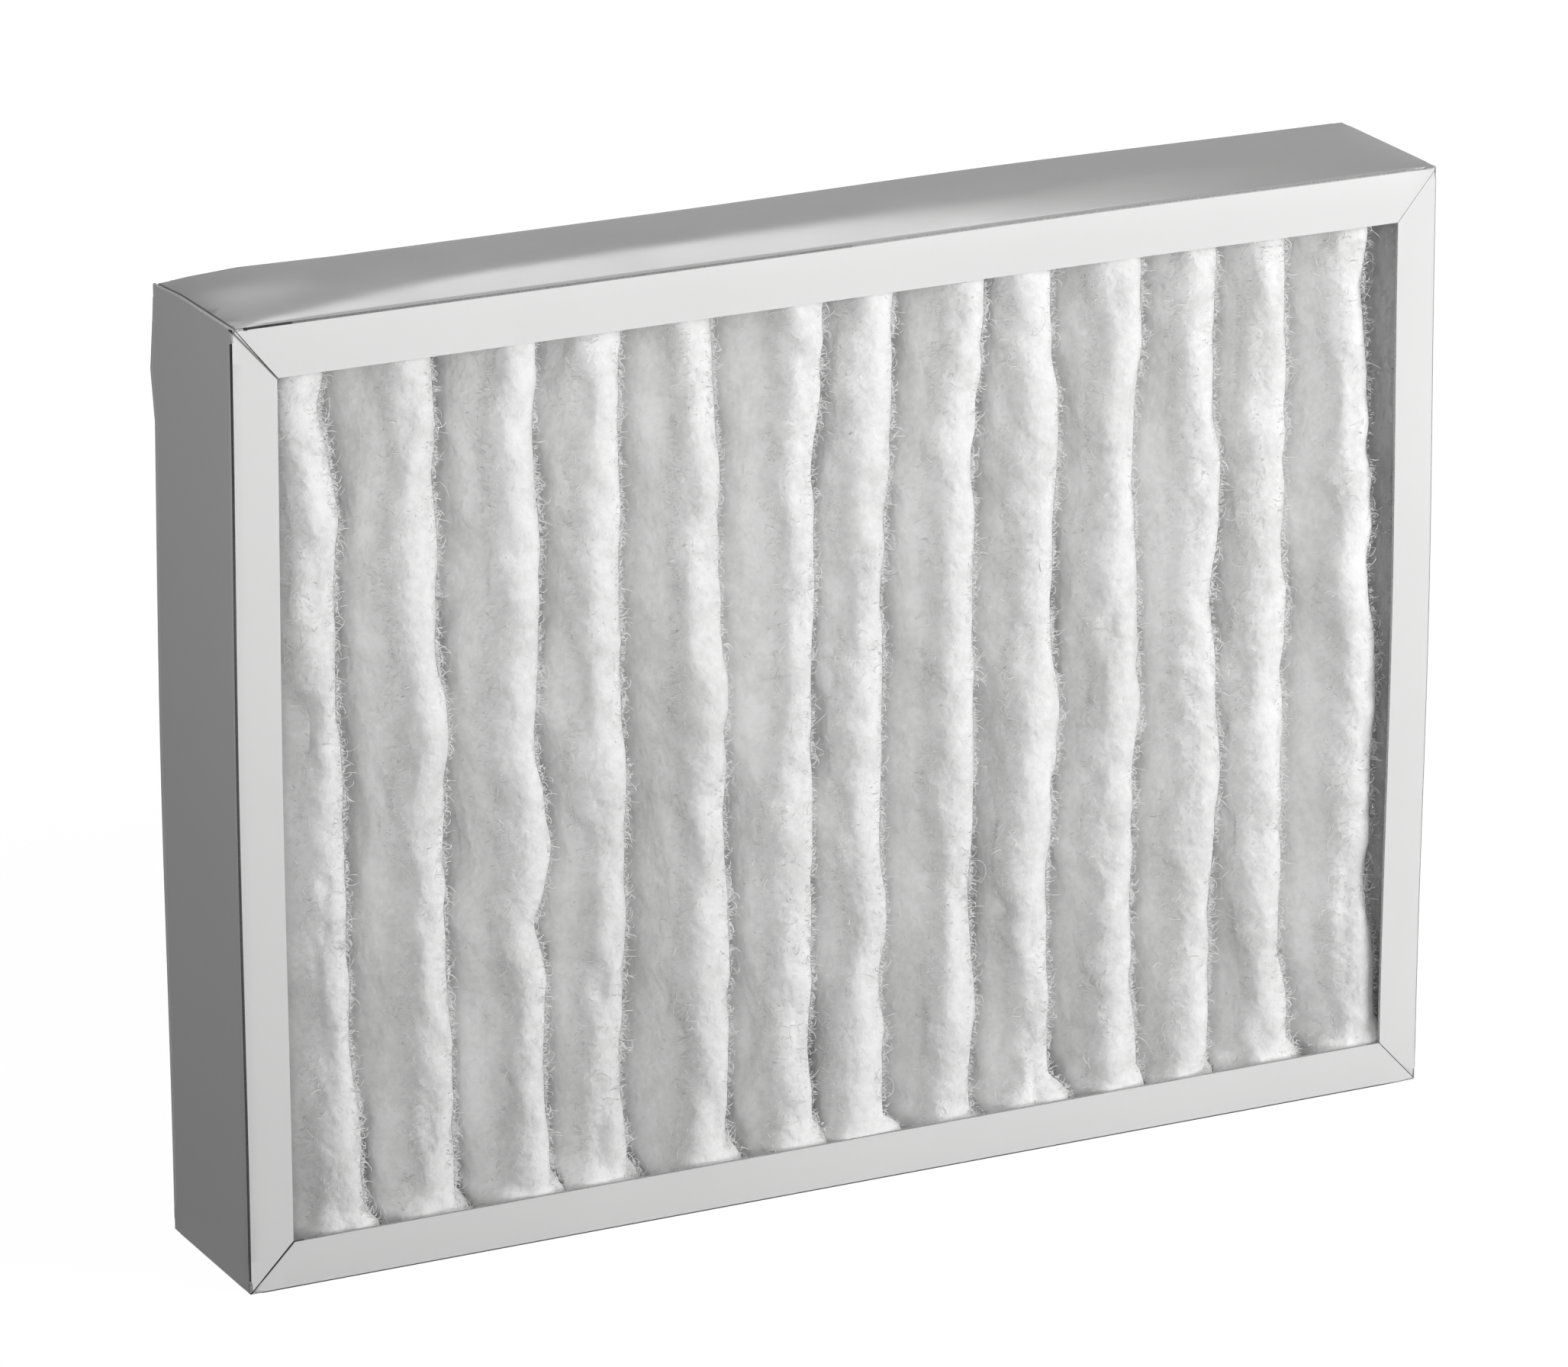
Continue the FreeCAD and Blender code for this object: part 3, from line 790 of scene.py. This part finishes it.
def card_finish():
    """Coated card: white satin skins with a fine grain, a greyer core where it is cut, and painted shade in
    the grooves and mitre gaps and beside the open corner's gap.
    """
    f = Finish("coated_card")
    flat_place = f.nodes.new("ShaderNodeAttribute")
    flat_place.attribute_name = "flat_place"
    f.place = flat_place.outputs["Vector"]
    x, y, z = (f.times(value, PER_METRE) for value in f.parts_of_place())
    half_width, half_depth, height = FRAME_HIGH
    from_side = f.math("SUBTRACT", half_width, f.math("ABSOLUTE", x))
    from_face = f.math("SUBTRACT", half_depth, f.math("ABSOLUTE", y))
    from_left = f.math("ADD", half_width, x)
    from_top = f.math("SUBTRACT", height, z)
    from_end = f.math("MINIMUM", z, from_top)
    smaller, larger = f.math("MINIMUM", from_side, from_end), f.math("MAXIMUM", from_side, from_end)
    nearest = f.math("MINIMUM", smaller, from_face)
    second = f.math("MAXIMUM", smaller, f.math("MINIMUM", larger, from_face))
    from_corner = f.math("MAXIMUM", larger, from_face)
    core = f.times(f.math("GREATER_THAN", nearest, SKIN), f.less(nearest, CORE_END))
    in_groove = f.times(f.less(second, GROOVE_WIDTH), f.math("GREATER_THAN", from_corner, GROOVE_STOP))
    aside = f.math("SUBTRACT", f.math("SUBTRACT", larger, smaller), f.times(smaller, MITRE_SPREAD))
    in_mitre = f.times(f.less(aside, MITRE_WIDTH), f.less(from_face, MITRE_DEPTH))
    # Painted shade in the grooves and mitre gaps: darker at the left end and near the open corner, none at
    # the upper right
    painted_shade = f.times(f.math("MAXIMUM", in_groove, in_mitre), core)
    on_left = f.less(from_left, MARGIN)
    upper_right = f.times(f.math("GREATER_THAN", x, 0.0), f.less(from_top, MARGIN))
    fade, start = OPEN_CORNER
    open_corner = f.math("MULTIPLY_ADD", f.math("ADD", from_left, from_top), -1 / fade, start, clamp=True)
    painted_shade_depth = f.math("MULTIPLY_ADD", on_left, PAINTED_SHADE_LEFT, PAINTED_SHADE_BASE)
    painted_shade_depth = f.math("ADD", painted_shade_depth, f.times(upper_right, PAINTED_SHADE_UPPER_RIGHT))
    painted_shade = f.times(painted_shade, f.math("MULTIPLY_ADD", open_corner, PAINTED_SHADE_OPEN_CORNER, painted_shade_depth))
    # Painted shadow on the front face beside the open corner's gap
    off_line = f.math("ABSOLUTE", f.math("MULTIPLY_ADD", from_left, -GAP_SLOPE, from_top))
    painted_gap_shadow = f.math("MULTIPLY_ADD", off_line, *PAINTED_GAP_SHADOW_FADE, clamp=True)
    on_face = f.less(f.math("ADD", half_depth, y), GAP_SURFACE)
    on_face = f.times(on_face, f.less(from_left, GAP_REACH))
    painted_shade = f.math("MAXIMUM", painted_shade, f.times(f.times(painted_gap_shadow, on_face), PAINTED_GAP_SHADOW))
    tone = f.ramp(f.noise(60.0, 2.0), (0.35, (0.806, 0.805, 0.803)), (0.65, (0.827, 0.826, 0.824)))
    pulp = f.ramp(f.noise(0.5, 4.0, 0.7), (0.35, grey(0.42)), (0.65, grey(0.66)))
    # The colour turns near black where the painted shade lies
    colour = f.mix(painted_shade, f.mix(core, tone, pulp), (*grey(0.03), 1.0))
    grain = f.blend((f.noise(2.2, 2.0, 0.5), 0.0075), (f.noise(0.45, 3.0, 0.6), 0.007))
    normal = f.bump(grain, 1.0)
    satin = f.ramp(f.noise(18.0, 3.0), (0.3, grey(0.18)), (0.7, grey(0.23)))
    return f.set(Base_Color=colour, Roughness=satin, Normal=normal, Specular_IOR_Level=0.10)


def adhesive_finish():
    """Milky hot-melt adhesive, softly glossy and faintly clouded."""
    f = Finish("hot_melt_adhesive")
    colour = f.ramp(f.noise(5.0, 3.0), (0.3, (0.80, 0.77, 0.68)), (0.7, (0.88, 0.86, 0.79)))
    normal = f.bump(f.noise(3.0, 2.0), 0.1, 0.5)
    return f.set(
        Base_Color=colour, Roughness=0.35, Normal=normal, Subsurface_Weight=0.4,
        Subsurface_Scale=0.002, Subsurface_Radius=(1.0, 0.9, 0.7),
    )


# Floor, lights and camera

FLOOR_SIZE = 30.0
FLOOR_GREY = 0.10             # what the floor gives back of the light that falls on it
FLOOR_LIFT = 0.975            # how bright it looks near the filter, next to 1.0 farther off
FLOOR_NEAR = (0.25, 0.6)      # where the brighter part begins and ends, in metres
ROOM_LIGHT = 0.03
AIM = (0.0, 0.0, 0.11)        # the middle of the filter

CAMERA_PLACE = (-0.8753, -1.7505, 0.7775)
CAMERA_DOWN = 18.65           # degrees
CAMERA_RIGHT = 26.40          # degrees
CAMERA_SENSOR = 36.0
CAMERA_LENS = 204.7


def seen_rays(nodes, links):
    """1 for what the camera sees, straight or in gloss or glass, and 0 for the light that falls."""
    path = nodes.new("ShaderNodeLightPath")
    total = path.outputs["Is Camera Ray"]
    for kind in ("Is Glossy Ray", "Is Transmission Ray"):
        node = nodes.new("ShaderNodeMath")
        node.operation, node.use_clamp = "ADD", True
        links.new(total, node.inputs[0])
        links.new(path.outputs[kind], node.inputs[1])
        total = node.outputs[0]
    return total


def floor():
    """A plain white floor that keeps the filter's soft shadow."""
    bpy.ops.mesh.primitive_plane_add(size=FLOOR_SIZE, location=(0, 0, 0))
    plane = bpy.context.object
    plane.name = "floor"
    material = bpy.data.materials.new("white_floor")
    material.use_nodes = True
    nodes, links = material.node_tree.nodes, material.node_tree.links
    shader = nodes["Principled BSDF"]
    shader.inputs["Base Color"].default_value = (*grey(FLOOR_GREY), 1.0)
    shader.inputs["Roughness"].default_value = 1.0
    shader.inputs["Specular IOR Level"].default_value = 0.0
    away = nodes.new("ShaderNodeVectorMath")
    away.operation = "LENGTH"
    links.new(nodes.new("ShaderNodeTexCoord").outputs["Object"], away.inputs[0])
    near = nodes.new("ShaderNodeMapRange")
    near.inputs["From Min"].default_value, near.inputs["From Max"].default_value = FLOOR_NEAR
    near.inputs["To Min"].default_value, near.inputs["To Max"].default_value = FLOOR_LIFT, 1.0
    links.new(away.outputs["Value"], near.inputs["Value"])
    lift = nodes.new("ShaderNodeMath")
    lift.operation = "MULTIPLY"
    links.new(seen_rays(nodes, links), lift.inputs[0])
    links.new(near.outputs["Result"], lift.inputs[1])
    glow = nodes.new("ShaderNodeEmission")
    links.new(lift.outputs[0], glow.inputs["Strength"])
    both = nodes.new("ShaderNodeAddShader")
    links.new(shader.outputs[0], both.inputs[0])
    links.new(glow.outputs[0], both.inputs[1])
    links.new(both.outputs[0], nodes["Material Output"].inputs["Surface"])
    plane.data.materials.append(material)


def softbox(name, place, size, power, target=AIM, spread=180):
    """A square area light that faces the target. Spread is in degrees."""
    bpy.ops.object.light_add(type="AREA", location=place)
    lamp = bpy.context.object
    lamp.name = name
    lamp.data.shape = "SQUARE"
    lamp.data.size, lamp.data.energy, lamp.data.spread = size, power, math.radians(spread)
    lamp.rotation_euler = (Vector(target) - Vector(place)).to_track_quat("-Z", "Y").to_euler()
    return lamp


def surroundings(level):
    """An even dim room that looks white to the camera."""
    world = bpy.data.worlds.new("studio")
    world.use_nodes = True
    bpy.context.scene.world = world
    nodes, links = world.node_tree.nodes, world.node_tree.links
    blend = nodes.new("ShaderNodeMix")
    blend.inputs["A"].default_value, blend.inputs["B"].default_value = level, 1.0
    links.new(seen_rays(nodes, links), blend.inputs["Factor"])
    links.new(blend.outputs["Result"], nodes["Background"].inputs["Strength"])
    nodes["Background"].inputs["Color"].default_value = (1.0, 1.0, 1.0, 1.0)


def camera():
    """The photograph's viewpoint: front left and a little above, through a long lens."""
    bpy.ops.object.camera_add(location=CAMERA_PLACE)
    eye = bpy.context.object
    eye.rotation_euler = (math.radians(90 - CAMERA_DOWN), 0.0, math.radians(-CAMERA_RIGHT))
    eye.data.sensor_width, eye.data.lens = CAMERA_SENSOR, CAMERA_LENS
    bpy.context.scene.camera = eye


bpy.context.scene.view_settings.view_transform = "Standard"
sheet, faces_shown = pleated_sheet()
sheet.data.materials.append(fleece_finish())
fibre_material = fibre_finish()
fibres = loose_fibres(faces_shown)
for fibre_piece in fibres:
    fibre_piece.data.materials.append(fibre_material)
for piece in [sheet] + fibres:
    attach(piece, "root")
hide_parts("pleated_fleece")

card = folded_card(frame["nodes"]["card_frame"])
card.data.materials.clear()
card.data.materials.append(card_finish())
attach(card, "root")
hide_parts("card_frame")

adhesive = adhesive_finish()
for node_name, node in frame["nodes"].items():
    if node_name.startswith(("adhesive", "joint")):
        node.data.materials.clear()
        node.data.materials.append(adhesive)

floor()
surroundings(ROOM_LIGHT)
softbox("key", (0.72, -0.86, 0.33), 0.8, 10.6)
softbox("front_fill", (-0.50, -1.40, 0.50), 0.8, 1.22, (0.25, 0.0, 0.26), spread=60)
softbox("left_fill", (-0.42, -0.45, 0.30), 0.3, 0.12, (-0.15, 0.0, 0.30), spread=70)
softbox("overhead", (0.0, -0.15, 1.1), 0.7, 0.06)
softbox("back_fill", (0.45, 1.35, 0.12), 0.3, 8.0).visible_glossy = False
softbox("top_gleam", (0.45, 0.98, 0.89), 0.42, 3.4, (0.0, 0.0, 0.22)).visible_diffuse = False
camera()
